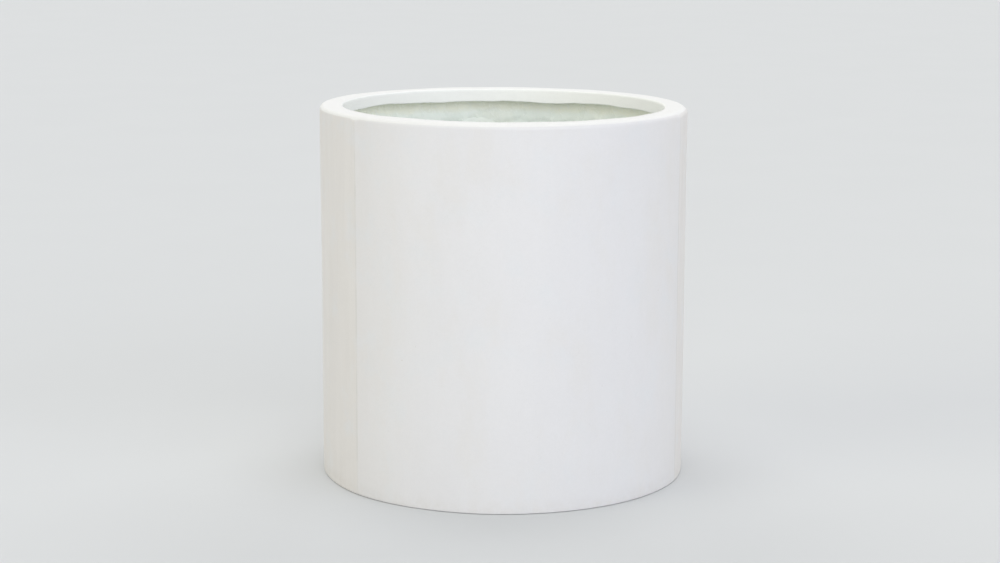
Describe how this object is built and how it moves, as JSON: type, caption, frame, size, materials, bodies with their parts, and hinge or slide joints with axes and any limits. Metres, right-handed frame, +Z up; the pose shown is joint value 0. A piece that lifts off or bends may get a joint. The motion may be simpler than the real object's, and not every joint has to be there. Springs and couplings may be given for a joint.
{
  "type": "fiberglass planter",
  "caption": "Round upright fiberglass planter, as wide as it is high, with a rolled rim and inner return lip, open inside, with plugged drain holes and rubber foot pads.",
  "frame": {"origin": "on the floor, on the planter's axis", "axes": "+Z up along the planter's axis; the pictured front faces -Y; +X is to the right in the picture"},
  "size_m": [0.6, 0.5998, 0.608],
  "materials": {
    "gelcoat": "satin white gelcoat on glass-fibre laminate",
    "raw_laminate": "raw chopped-strand laminate, pale green, resin-glossy and uneven",
    "rubber": "moulded black rubber, matt"
  },
  "bodies": {
    "planter": {"wall_panel_front": "gelcoat", "wall_panel_right": "gelcoat", "wall_panel_left": "gelcoat", "seam_tape_left": "raw_laminate", "seam_tape_right": "raw_laminate", "seam_tape_back": "raw_laminate", "rim_ring": "gelcoat", "rim_tape": "raw_laminate", "base_pan": "raw_laminate", "base_tape": "raw_laminate", "foot_pad_1": "rubber", "foot_pad_2": "rubber", "foot_pad_3": "rubber", "foot_pad_4": "rubber", "foot_pad_5": "rubber", "foot_pad_6": "rubber"},
    "plug_1": {"drain_plug_1": "rubber"},
    "plug_2": {"drain_plug_2": "rubber"},
    "plug_3": {"drain_plug_3": "rubber"}
  },
  "joints": [
    {"name": "plug_1_pull", "type": "slide", "parent": "planter", "child": "plug_1", "axis": [0, 0, 1], "range_m": [0, 0.66]},
    {"name": "plug_2_pull", "type": "slide", "parent": "planter", "child": "plug_2", "axis": [0, 0, 1], "range_m": [0, 0.66]},
    {"name": "plug_3_pull", "type": "slide", "parent": "planter", "child": "plug_3", "axis": [0, 0, 1], "range_m": [0, 0.66]}
  ]
}
